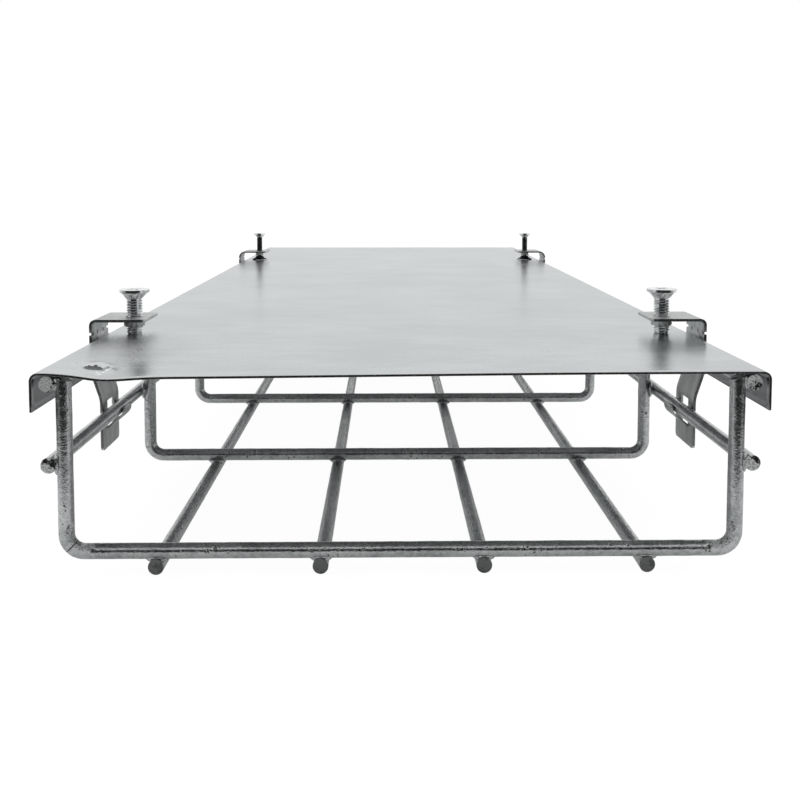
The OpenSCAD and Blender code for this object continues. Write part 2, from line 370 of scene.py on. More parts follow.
class Value:
    """A number's socket that takes part in Python expressions."""

    def __init__(self, graph: "Graph", socket: bpy.types.NodeSocket) -> None:
        """Wrap a socket of a graph."""
        self.graph = graph
        self.socket = socket

    def maths(self, operation: str, *others: Any, first: Any = None) -> "Value":
        """Add a Math node that works on this value and others."""
        values = [self, *others] if first is None else [first, self, *others]
        return self.graph.node(
            "ShaderNodeMath", {"operation": operation}, dict(enumerate(values))
        )["Value"]

    def __add__(self, other: Any) -> "Value":
        """Sum."""
        return self.maths("ADD", other)

    __radd__ = __add__

    def __sub__(self, other: Any) -> "Value":
        """Difference."""
        return self.maths("SUBTRACT", other)

    def __rsub__(self, other: Any) -> "Value":
        """Difference, with this value taken away."""
        return self.maths("SUBTRACT", first=other)

    def __mul__(self, other: Any) -> "Value":
        """Product."""
        return self.maths("MULTIPLY", other)

    __rmul__ = __mul__

    def __truediv__(self, other: Any) -> "Value":
        """Quotient."""
        return self.maths("DIVIDE", other)

    def above(self, low: float, high: float) -> "Value":
        """0 under low, 1 over high, and a smooth rise between them."""
        node = self.graph.node(
            "ShaderNodeMapRange", {"interpolation_type": "SMOOTHSTEP"},
            {"Value": self, "From Min": low, "From Max": high},
        )
        return node["Result"]


class Graph:
    """The nodes of one material or world."""

    def __init__(self, owner: bpy.types.Material | bpy.types.World) -> None:
        """Start an empty graph in a material or world."""
        owner.use_nodes = True
        self.tree = owner.node_tree
        self.tree.nodes.clear()

    def node(
        self, kind: str, settings: dict[str, Any], inputs: dict[Any, Any]
    ) -> dict[str, Value]:
        """Add a node.

        Args:
            kind: The node's type.
            settings: The node's own settings.
            inputs: Values or links by the name or number of the socket.

        Returns:
            The node's outputs by name.
        """
        made = self.tree.nodes.new(kind)
        for key, value in settings.items():
            setattr(made, key, value)
        for key, value in inputs.items():
            socket = made.inputs[key]
            if isinstance(value, Value):
                self.tree.links.new(value.socket, socket)
            else:
                socket.default_value = value
        return {output.name: Value(self, output) for output in made.outputs if output.enabled}

    def place(self) -> Value:
        """Object coordinates, in metres in the frame's axes."""
        return self.node("ShaderNodeTexCoord", {}, {})["Object"]

    def stretched(self, scale: Point, turn: float = 0) -> Value:
        """Object coordinates scaled by axis, after a turn round Z in degrees."""
        return self.node(
            "ShaderNodeMapping", {},
            {"Vector": self.place(), "Scale": scale, "Rotation": (0, 0, math.radians(turn))},
        )["Vector"]

    def noise(self, where: Value, size: float, detail: float = 3, rough: float = 0.55) -> Value:
        """Cloudy noise from 0 to 1 with lumps of about this size, in metres."""
        return self.node(
            "ShaderNodeTexNoise", {},
            {"Vector": where, "Scale": 1 / size, "Detail": detail, "Roughness": rough},
        )["Fac"]

    def shifted(self, where: Value, size: float, reach: float) -> Value:
        """Coordinates pushed about by up to half a reach, in lumps of about this size."""
        noise = self.node("ShaderNodeTexNoise", {}, {"Vector": where, "Scale": 1 / size})["Color"]
        centred = self.node(
            "ShaderNodeVectorMath", {"operation": "SUBTRACT"}, {0: noise, 1: (0.5, 0.5, 0.5)}
        )["Vector"]
        return self.node(
            "ShaderNodeVectorMath", {"operation": "MULTIPLY_ADD"},
            {0: centred, 1: (reach, reach, reach), 2: where},
        )["Vector"]

    def cells(self, where: Value, size: float) -> Value:
        """Distance from the middle of cells of about this size."""
        return self.node(
            "ShaderNodeTexVoronoi", {}, {"Vector": where, "Scale": 1 / size}
        )["Distance"]

    def blend(self, share: Any, low: Any, high: Any) -> Value:
        """Mix two colours."""
        rgba = [(*c, 1) if isinstance(c, tuple) else c for c in (low, high)]
        return self.node(
            "ShaderNodeMix", {"data_type": "RGBA"}, {0: share, 6: rgba[0], 7: rgba[1]}
        )["Result"]

    def axis(self, where: Value, name: str) -> Value:
        """One of a vector's numbers."""
        return self.node("ShaderNodeSeparateXYZ", {}, {"Vector": where})[name]

    def bump(self, height: Value, depth: float) -> Value:
        """Normal of a surface raised by a height from 0 to 1 times a depth in metres."""
        return self.node(
            "ShaderNodeBump", {}, {"Height": height, "Distance": depth, "Strength": 1.0}
        )["Normal"]

    def finish(self, shader: Value, output: str = "ShaderNodeOutputMaterial") -> None:
        """Connect a shader to the graph's output."""
        self.node(output, {}, {"Surface": shader})


def metal(graph: Graph, colour: Any, roughness: Any, normal: Value, tint: Any = None) -> Value:
    """Principled metal from its colour, roughness and normal, and its tint at a grazing angle."""
    sockets = {"Base Color": colour, "Roughness": roughness, "Metallic": 1.0, "Normal": normal}
    if tint is not None:
        sockets["Specular Tint"] = tint
    return graph.node("ShaderNodeBsdfPrincipled", {}, sockets)["BSDF"]


# ---------------------------------------------------------------- finishes


@dataclass(frozen=True)
class Finish:
    """A metal finish that builds its own material."""

    name: str = "metal"

    def material(self) -> bpy.types.Material:
        """Build the finish."""
        made = bpy.data.materials.new(self.name)
        graph = Graph(made)
        graph.finish(self.shader(graph, graph.place()))
        return made

    def shader(self, graph: Graph, where: Value) -> Value:
        """Build the shader.

        Args:
            graph: The nodes of the material.
            where: Object coordinates.

        Returns:
            The shader's output.
        """
        raise NotImplementedError


@dataclass(frozen=True)
class GalvanisedWire(Finish):
    """Mottled hot-dip zinc on round wire, with lumps, pits and dark specks."""

    name: str = "galvanised_wire"
    pale: Point = (0.50, 0.513, 0.517)
    dull: Point = (0.29, 0.302, 0.304)
    speck: Point = (0.03, 0.032, 0.032)
    bend: Point = (97 * MM, -272.5 * MM, 12.2 * MM)

    def shader(self, graph: Graph, where: Value) -> Value:
        """Build the shader."""
        clouds = graph.noise(where, 11 * MM, 3)
        mottle = graph.noise(where, 1.5 * MM, 4, 0.6)
        grit = graph.noise(where, 0.6 * MM, 3, 0.6)
        pits = 1 - graph.cells(graph.shifted(where, 1.5 * MM, 2 * MM), 1.7 * MM).above(0.12, 0.30)
        crinkle, crack = self.bend_wear(graph, where)
        pitted = (pits * clouds.above(0.5, 0.58)).maths("MAXIMUM", crack)
        blotchy = 0.4 * clouds + 0.4 * mottle + 0.2 * grit
        tone = graph.blend(blotchy.above(0.36, 0.60), self.dull, self.pale)
        colour = graph.blend(0.85 * pitted, tone, self.speck)
        height = 0.5 * mottle + 0.5 * grit - 0.5 * pitted + 6.0 * crinkle * mottle
        return metal(
            graph, colour, 0.12 + 0.12 * mottle + 0.2 * pitted, graph.bump(height, 0.18 * MM)
        )

    def bend_wear(self, graph: Graph, where: Value) -> tuple[Value, Value]:
        """Masks of the crinkled insides of the front bends, and of the crack in the left one."""
        x, y, z = (graph.axis(where, name) for name in "XYZ")
        across = x.maths("ABSOLUTE") - self.bend[0]
        up = z - self.bend[2]
        reach = (across * across + up * up).maths("SQRT")
        front = 1 - y.above(self.bend[1] + 3 * MM, self.bend[1] + 4 * MM)
        inside = (1 - reach.above(3.6 * MM, 5.6 * MM)) * front
        ragged = graph.noise(where, 0.9 * MM, 2) * 0.9 * MM
        off_line = (across + up + ragged - 0.45 * MM).maths("ABSOLUTE")
        corner = (across - up).above(3 * MM, 4 * MM) * (1 - (across - up).above(10 * MM, 12 * MM))
        left = 1 - x.above(-MM, MM)
        crack = (1 - off_line.above(0.14 * MM, 0.30 * MM)) * corner * left * front
        return inside, crack


@dataclass(frozen=True)
class ShearedWire(Finish):
    """Sheared end of a wire: dull on the floor wires, bright and torn at the sides."""

    name: str = "sheared_wire"
    bright: Point = (0.66, 0.67, 0.67)
    dull: Point = (0.15, 0.155, 0.155)
    torn: Point = (0.02, 0.02, 0.02)

    def shader(self, graph: Graph, where: Value) -> Value:
        """Build the shader."""
        out = graph.axis(where, "X").maths("ABSOLUTE").above(85 * MM, 90 * MM)
        patches = graph.noise(graph.shifted(where, 1.1 * MM, 2.2 * MM), 2.4 * MM, 3)
        grain = graph.noise(graph.stretched((1, 1, 2.5), 0.6), 0.8 * MM, 3)
        base = graph.blend(out * grain.above(0.3, 0.55), self.dull, self.bright)
        ragged = patches + 0.35 * grain
        colour = graph.blend((0.4 + 0.6 * out) * ragged.above(0.72, 0.77), base, self.torn)
        height = (0.3 + 0.7 * out) * grain - out * ragged.above(0.66, 0.78)
        return metal(graph, colour, 0.22 + 0.2 * grain, graph.bump(height, 0.35 * MM))


@dataclass(frozen=True)
class GalvanisedSheet(Finish):
    """Satin galvanised sheet with faint streaks across the tray, a few specks, and painted shade on
    its inner side.
    """

    name: str = "galvanised_sheet"
    pale: Point = (0.680, 0.692, 0.697)
    dull: Point = (0.570, 0.582, 0.587)
    speck: Point = (0.22, 0.23, 0.23)
    grazing: tuple[float, float, float, float] = (0.80, 0.815, 0.82, 1.0)
    scar_at: Point = (-93.0 * MM, -262.0 * MM, 62 * MM)
    smudge_at: Point = (-92.0 * MM, -228.0 * MM, 62 * MM)
    # Painted shade: share of black mixed into the inside of the flanges and the underside of the
    # top.
    inner_shade: float = 0.38
    inner_x: float = 111.5 * MM
    inner_z: float = 61.8 * MM
    inner_fade: float = 0.2 * MM

    def shader(self, graph: Graph, where: Value) -> Value:
        """Build the shader."""
        streaks = graph.noise(graph.stretched((0.32, 1, 1)), 6 * MM, 5, 0.7)
        clouds = graph.noise(where, 45 * MM, 2)
        fine = graph.noise(where, 0.9 * MM, 2)
        specks = (1 - graph.cells(where, 7 * MM).above(0.03, 0.06)) * clouds.above(0.5, 0.6)
        blotchy = 0.4 * streaks + 0.35 * clouds + 0.25 * fine
        tone = graph.blend(blotchy.above(0.36, 0.64), self.dull, self.pale)
        # Mask of the painted shade: inside the flanges, under the top, on faces that turn down.
        x_end, z_end = self.inner_x + self.inner_fade, self.inner_z + self.inner_fade
        beside = 1 - graph.axis(where, "X").maths("ABSOLUTE").above(self.inner_x, x_end)
        below = 1 - graph.axis(where, "Z").above(self.inner_z, z_end)
        sheet_normal = graph.node("ShaderNodeNewGeometry", {}, {})["Normal"]
        turned_down = 1 - graph.axis(sheet_normal, "Z").above(0.4, 0.6)
        ring, burst = self.scar(graph, where)
        smudge = self.smudge(graph, where) * fine.above(0.25, 0.6)
        specked = graph.blend((specks * 0.8).maths("MAXIMUM", ring), tone, self.speck)
        sparkling = graph.blend(burst, specked, (0.95, 0.96, 0.96))
        # Painted shade: the inner side is mixed towards black.
        inner = self.inner_shade * beside * below * turned_down
        colour = graph.blend(inner, sparkling, (0.0, 0.0, 0.0))
        height = 0.5 * streaks + 0.5 * fine
        return metal(
            graph, colour, 0.20 + 0.08 * streaks + 0.3 * specks + 0.2 * smudge,
            graph.bump(height, 0.018 * MM),
            tint=self.grazing,
        )

    def smudge(self, graph: Graph, where: Value) -> Value:
        """Mask of the handled, duller patch in front of the left clamp."""
        right = graph.axis(where, "X") - self.smudge_at[0]
        back = (graph.axis(where, "Y") - self.smudge_at[1]) * 0.7
        return 1 - (right * right + back * back).maths("SQRT").above(12 * MM, 26 * MM)

    def scar(self, graph: Graph, where: Value) -> tuple[Value, Value]:
        """Masks of the dark ring at the gouge's right end, and of the bright nicks round it."""
        right = (graph.axis(where, "X") - self.scar_at[0]) / (0.85 * MM)
        back = (graph.axis(where, "Y") - self.scar_at[1]) / (3.2 * MM)
        reach = (right * right + back * back).maths("SQRT")
        ring = reach.above(0.45, 0.65) * (1 - reach.above(0.95, 1.2))
        nicks = graph.noise(where, 1.1 * MM, 2).above(0.5, 0.56)
        burst = nicks * (1 - reach.above(2.2, 2.9)) * (1 - ring) * (1 - back.above(-0.2, 0.6))
        return ring, burst


@dataclass(frozen=True)
class ZincStrap(Finish):
    """Satin zinc-plated strip with faint smudges up and down."""

    name: str = "zinc_strap"
    pale: Point = (0.56, 0.57, 0.57)
    dull: Point = (0.40, 0.41, 0.41)

    def shader(self, graph: Graph, where: Value) -> Value:
        """Build the shader."""
        smudges = graph.noise(graph.stretched((1, 1, 0.2)), 4 * MM, 3)
        grain = graph.noise(where, 0.5 * MM, 3)
        colour = graph.blend(smudges.above(0.35, 0.7), self.dull, self.pale)
        return metal(
            graph, colour, 0.36 + 0.12 * smudges, graph.bump(0.5 * smudges + 0.5 * grain, 0.03 * MM)
        )


@dataclass(frozen=True)
class ShearedEdge(Finish):
    """Dark sheared edge of sheet or strip, with a brighter burnished band."""

    name: str = "sheared_edge"
    dark: Point = (0.035, 0.035, 0.035)
    worn: Point = (0.20, 0.20, 0.20)
    sheen: float = 0.5

    def shader(self, graph: Graph, where: Value) -> Value:
        """Build the shader."""
        torn = graph.noise(where, 0.8 * MM, 3)
        colour = graph.blend(torn.above(0.52, 0.75), self.dark, self.worn)
        return metal(graph, colour, self.sheen + 0.2 * torn, graph.bump(torn, 0.06 * MM))


@dataclass(frozen=True)
class BrightZinc(Finish):
    """Bright zinc plating on screws, dull where the thread holds dirt."""

    name: str = "bright_zinc"
    bright: Point = (0.78, 0.79, 0.80)
    dull: Point = (0.42, 0.43, 0.43)

    def shader(self, graph: Graph, where: Value) -> Value:
        """Build the shader."""
        haze = graph.noise(where, 2 * MM, 3)
        grain = graph.noise(where, 0.4 * MM, 2)
        colour = graph.blend(haze.above(0.4, 0.7), self.bright, self.dull)
        return metal(graph, colour, 0.07 + 0.10 * haze, graph.bump(grain, 0.006 * MM))


@dataclass(frozen=True)
class DarkPlate(Finish):
    """Blackened pressed steel of the foot washers."""

    name: str = "dark_plate"
    dark: Point = (0.045, 0.047, 0.048)
    worn: Point = (0.45, 0.46, 0.46)

    def shader(self, graph: Graph, where: Value) -> Value:
        """Build the shader."""
        wear = graph.noise(where, 1.4 * MM, 3)
        colour = graph.blend(wear.above(0.58, 0.72), self.dark, self.worn)
        return metal(graph, colour, 0.32 + 0.2 * wear, graph.bump(wear, 0.04 * MM))


@dataclass(frozen=True)
class ScuffedSheet(Finish):
    """Bare dull steel at the bottom of a gouge."""

    name: str = "scuffed_sheet"
    bare: Point = (0.12, 0.125, 0.125)
    smeared: Point = (0.24, 0.245, 0.245)

    def shader(self, graph: Graph, where: Value) -> Value:
        """Build the shader."""
        grain = graph.noise(where, 0.5 * MM, 3)
        colour = graph.blend(grain.above(0.5, 0.7), self.bare, self.smeared)
        return metal(graph, colour, 0.45 + 0.2 * grain, graph.bump(grain, 0.05 * MM))


@dataclass
class Finishes:
    """Every finish of the basket, built once."""

    wire: bpy.types.Material = field(default_factory=GalvanisedWire().material)
    wire_end: bpy.types.Material = field(default_factory=ShearedWire().material)
    sheet: bpy.types.Material = field(default_factory=GalvanisedSheet().material)
    strap: bpy.types.Material = field(default_factory=ZincStrap().material)
    scuff: bpy.types.Material = field(default_factory=ScuffedSheet().material)
    edge: bpy.types.Material = field(default_factory=ShearedEdge().material)
    strap_edge: bpy.types.Material = field(
        default_factory=ShearedEdge(
            "strap_edge", (0.14, 0.145, 0.145), (0.34, 0.345, 0.345), 0.26
        ).material
    )
    screw: bpy.types.Material = field(default_factory=BrightZinc().material)
    plate: bpy.types.Material = field(default_factory=DarkPlate().material)


def hand_over(piece: Piece, body: str, node: str) -> Piece:
    """Let a finished piece ride on its body and stand for its node.

    Args:
        piece: The finished piece.
        body: The body of the frame that carries it.
        node: The node of the frame that it stands for.

    Returns:
        The same piece.
    """
    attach(piece, body)
    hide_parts(node)
    log.info("%s rides on %s with %d faces", piece.name, body, len(piece.data.polygons))
    return piece


def middle(node: str) -> Vector:
    """Middle of a node of the frame."""
    low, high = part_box(node)
    return (low + high) / 2


# ---------------------------------------------------------------- the welded tray


@dataclass
class WeldedTray:
    """Bent cross wires and straight long wires, welded at every crossing."""

    finishes: Finishes
    wire_r: float = 2.5 * MM
    facets: int = 24
    ring_step: float = 2.2 * MM
    bend_r: float = 5.5 * MM
    cut_angle: float = 22.0
    lump: float = 0.11 * MM
    bead_size: Point = (3.7 * MM, 3.7 * MM, 1.35 * MM)
    bead_trim: float = 0.64
    bead_touch: float = 0.84
    cross_names: tuple[str, ...] = tuple(f"cross_wire_{i}" for i in range(1, 7))
    floor_names: tuple[str, ...] = tuple(f"floor_wire_{i}" for i in range(1, 5))
    wall_names: tuple[str, ...] = (
        "side_wire_left", "side_wire_right", "rim_wire_left", "rim_wire_right",
    )

    def build(self) -> None:
        """Model the wires and hand them over."""
        self.read_frame()
        self.build_cross_wires()
        self.build_long_wires()

    def read_frame(self) -> None:
        """Take the places of the wires from the frame."""
        low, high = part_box("cross_wire_1")
        self.leg_x = high.x - self.wire_r
        self.floor_z = low.z + self.wire_r
        self.leg_top = high.z
        self.cross_y = [middle(name).y for name in self.cross_names]
        low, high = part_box("floor_wire_1")
        self.ends = (low.y, high.y)

    def steps(self, length: float) -> int:
        """Number of rings that a straight of this length takes."""
        return max(1, round(length / self.ring_step))

    def cap(self) -> None:
        """Close the selected end of a wire with a fine grid of faces."""
        bpy.ops.mesh.fill_grid(span=self.facets // 4)

    def build_cross_wires(self) -> None:
        """Bend one cross wire, then copy it along the tray."""
        over = 3 * MM
        leg_low = self.floor_z + self.bend_r
        leg_len = self.leg_top + over - leg_low
        floor_half = self.leg_x - self.bend_r
        Bench.clear()
        bpy.ops.mesh.primitive_circle_add(
            vertices=self.facets, radius=self.wire_r, location=(-self.leg_x, 0, self.leg_top + over)
        )
        master = Bench.place(Bench.name(bpy.context.object, "cross_wire_master"))
        with Bench.editing(master):
            bpy.ops.mesh.select_all(action="SELECT")
            Bench.pull((0, 0, -leg_len), self.steps(leg_len))
            self.bend((-floor_half, 0, leg_low))
            Bench.pull((2 * floor_half, 0, 0), self.steps(2 * floor_half))
            self.bend((floor_half, 0, leg_low))
            Bench.pull((0, 0, leg_len), self.steps(leg_len))
            tilt = math.radians(self.cut_angle)
            for side in Side:
                self.cut_leg(side, tilt)
        Bench.clean(master)
        for name, y in zip(self.cross_names, self.cross_y):
            wire = Bench.copy(master, f"bent_{name}", (0, y, 0))
            self.surface(wire)
            self.finish(wire, name)
        bpy.data.objects.remove(master)

    def bend(self, pivot: Point) -> None:
        """Turn the selected ring by a quarter round a pivot, towards +X."""
        bpy.ops.mesh.spin(steps=10, angle=math.pi / 2, center=pivot, axis=(0, 1, 0))

    def cut_leg(self, side: Side, tilt: float) -> None:
        """Cut the top of one leg on a slant that rises outwards."""
        reach = self.leg_x + self.wire_r
        half = self.leg_x / 2
        Bench.pick(lambda p: p.x * side.value > half)
        bpy.ops.mesh.bisect(
            plane_co=(side.value * reach, 0, self.leg_top),
            plane_no=(-side.value * math.sin(tilt), 0, math.cos(tilt)),
            clear_outer=True, use_fill=True,
        )

    def surface(self, wire: Piece) -> None:
        """Give a wire the slightly uneven surface of dipped zinc."""
        Bench.roughen(wire, self.lump, 2.5 * MM)
        Bench.roughen(wire, self.lump, 9 * MM)

    def finish(self, wire: Piece, node: str) -> None:
        """Dress a wire and hand it over."""
        Bench.shade(wire, 50)
        Bench.dress(wire, self.finishes.wire, self.finishes.wire_end)
        front, rear = self.ends
        if node in self.cross_names:
            top = self.leg_top - self.wire_r * 2
            Bench.paint(wire, 1, lambda p, n: p.z > top and n.z > 0.8)
        else:
            Bench.paint(
                wire, 1,
                lambda p, n: abs(n.y) > 0.7 and (p.y < front + 0.4 * MM or p.y > rear - 0.4 * MM),
            )
        hand_over(wire, "tray", node)

    def straight_wire(self) -> Piece:
        """Model one straight wire along Y, with both cut ends."""
        front, rear = self.ends
        Bench.clear()
        bpy.ops.mesh.primitive_circle_add(
            vertices=self.facets, radius=self.wire_r, location=(0, front, 0),
            rotation=(math.pi / 2, 0, 0),
        )
        wire = Bench.place(Bench.name(bpy.context.object, "straight_wire_master"))
        with Bench.editing(wire):
            bpy.ops.mesh.select_all(action="SELECT")
            self.cap()
            rim = self.wire_r * 0.98
            Bench.pick(lambda p: math.hypot(p.x, p.z) > rim)
            bpy.ops.mesh.region_to_loop()
            Bench.pull((0, rear - front, 0), self.steps(rear - front))
            self.cap()
        return Bench.clean(wire)

    def bead(self) -> Piece:
        """Model one weld bead: a squashed, slightly lumpy disc of flash."""
        Bench.clear()
        bpy.ops.mesh.primitive_uv_sphere_add(segments=28, ring_count=14, radius=1)
        bead = Bench.name(bpy.context.object, "weld_bead_master")
        bead.scale = self.bead_size
        Bench.place(bead)
        with Bench.editing(bead):
            bpy.ops.mesh.select_all(action="SELECT")
            bpy.ops.transform.vertex_random(offset=0.16 * MM, seed=3)
            bpy.ops.mesh.vertices_smooth(factor=0.5, repeat=2)
        return bead

    def build_long_wires(self) -> None:
        """Copy the straight wire to its eight places, each with a bead at every crossing."""
        master = self.straight_wire()
        bead = self.bead()
        touch = self.wire_r * self.bead_touch
        for name in self.floor_names + self.wall_names:
            at = middle(name)
            wire = Bench.copy(master, f"welded_{name}", (at.x, 0, at.z))
            self.surface(wire)
            flat = name in self.floor_names
            inwards = 0.0 if flat else -math.copysign(touch, at.x)
            beads = []
            for i, y in enumerate(self.cross_y):
                piece = Bench.copy(bead, f"bead_{i}")
                piece.scale.x = self.bead_trim if name.startswith("rim") else 1.0
                piece.scale.y = self.bead_trim if i == 0 else 1.0
                piece.rotation_euler = (0, 0 if flat else math.pi / 2, 0)
                piece.location = (at.x + inwards, y, at.z + (touch if flat else 0))
                beads.append(Bench.place(piece))
            self.weld(wire, Bench.join(beads, "beads"))
            self.finish(wire, name)
        for piece in (master, bead):
            bpy.data.objects.remove(piece)

    def weld(self, wire: Piece, beads: Piece) -> None:
        """Melt the beads into their wire."""
        Bench.combine(wire, beads, "UNION")
        Bench.clean(wire, 5e-6)


# ---------------------------------------------------------------- the cover


@dataclass
class FoldedCover:
    """Flat sheet with both long edges folded down, sagging and scratched at one front corner."""

    finishes: Finishes
    thickness: float = 0.8 * MM
    fold_r: float = 1.7 * MM
    grid: tuple[int, int] = (92, 232)
    sag_depth: float = 1.9 * MM
    sag_reach: float = 70 * MM
    gouge_at: tuple[float, float] = (-96.9 * MM, -261.5 * MM)
    gouge_half: tuple[float, float] = (3.2 * MM, 3.9 * MM)
    gouge_depth: float = 0.5 * MM
    lip_height: float = 0.7 * MM

    def build(self) -> Piece:
        """Model the cover and hand it over."""
        low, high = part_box("cover")
        mid_r = self.fold_r + self.thickness / 2
        half = high.x - self.thickness / 2 - mid_r
        top = high.z - self.thickness / 2
        Bench.clear()
        bpy.ops.mesh.primitive_grid_add(
            x_subdivisions=self.grid[0], y_subdivisions=self.grid[1], size=1, location=(0, 0, top)
        )
        cover = Bench.name(bpy.context.object, "folded_cover")
        cover.scale = (2 * half, high.y - low.y, 1)
        Bench.place(cover)
        with Bench.editing(cover, "EDGE"):
            for side in Side:
                self.fold(side, half, top, mid_r, low.z)
        Bench.clean(cover)
        self.wear(cover, low.y)
        Bench.modify(cover, "SOLIDIFY", thickness=self.thickness, offset=0, use_even_offset=True)
        Bench.soften(cover, 0.1 * MM, 1, 60)
        Bench.dress(cover, self.finishes.sheet, self.finishes.edge, self.finishes.scuff)
        Bench.paint(cover, 1, lambda p, n: abs(n.y) > 0.9)
        Bench.paint(cover, 2, lambda p, n: n.z > 0.2 and self.gouge(p) < 0.85)
        return hand_over(cover, "tray", "cover")

    def fold(self, side: Side, half: float, top: float, mid_r: float, foot: float) -> None:
        """Fold one long edge down and draw out its flange."""
        edge = side.value * half
        Bench.pick(lambda p: abs(p.x - edge) < 0.01 * MM and abs(p.z - top) < 0.01 * MM, "EDGE")
        bpy.ops.mesh.spin(
            steps=6, angle=-side.value * math.pi / 2, center=(edge, 0, top - mid_r), axis=(0, 1, 0)
        )
        Bench.pull((0, 0, foot - (top - mid_r)), 4)

    def wear(self, cover: Piece, front: float) -> None:
        """Sag the sheet at its front left corner and gouge it there.

        Args:
            cover: The folded middle surface of the sheet.
            front: Where its front edge is along the tray.
        """
        x, y = self.gouge_at
        spot = Vector((x, y, 0))
        with Bench.editing(cover, "FACE"):
            near = self.gouge_half[1] + 5 * MM
            Bench.pick(lambda p: (p.xy - spot.xy).length < near, "FACE")
            bpy.ops.mesh.subdivide(number_cuts=3)

        def sag(p: Vector) -> float:
            corner = ramp(-109 * MM, -89 * MM, p.x)
            bend = math.exp(-(((p.x + 89 * MM) / (9 * MM)) ** 2))
            slope = ramp(90 * MM, -110 * MM, p.x)
            return corner * (0.35 * bend + 0.65 * slope) * ramp(front + self.sag_reach, front, p.y)

        Bench.sink(cover, "sag", self.sag_depth, sag)
        Bench.sink(cover, "gouge", self.gouge_depth, lambda p: ramp(1.25, 0.55, self.gouge(p)))
        Bench.sink(cover, "lip", -self.lip_height, self.lip)

    def gouge(self, p: Vector) -> float:
        """Distance from the middle of the gouge, where 1 is its leaf-shaped edge."""
        x, y = self.gouge_at
        long = (p.x - x) * 0.86 - (p.y - y) * 0.5
        across = (p.x - x) * 0.5 + (p.y - y) * 0.86
        half_w, half_l = self.gouge_half
        return (long / half_l) ** 2 + abs(across) / half_w

    def lip(self, p: Vector) -> float:
        """Share of the metal thrown up behind the gouge and beside its right end."""
        x, y = self.gouge_at

        def hump(right: float, back: float, half_w: float, half_l: float) -> float:
            across = (p.x - x - right) / half_w
            along = (p.y - y - back) / half_l
            return math.exp(-(across**2) - (along**2))

        behind = hump(MM, 4.8 * MM, 2.9 * MM, 2 * MM)
        beside = hump(5.5 * MM, -2 * MM, 1.6 * MM, 3 * MM)
        return max(behind, 0.9 * beside)


# ---------------------------------------------------------------- the clamps


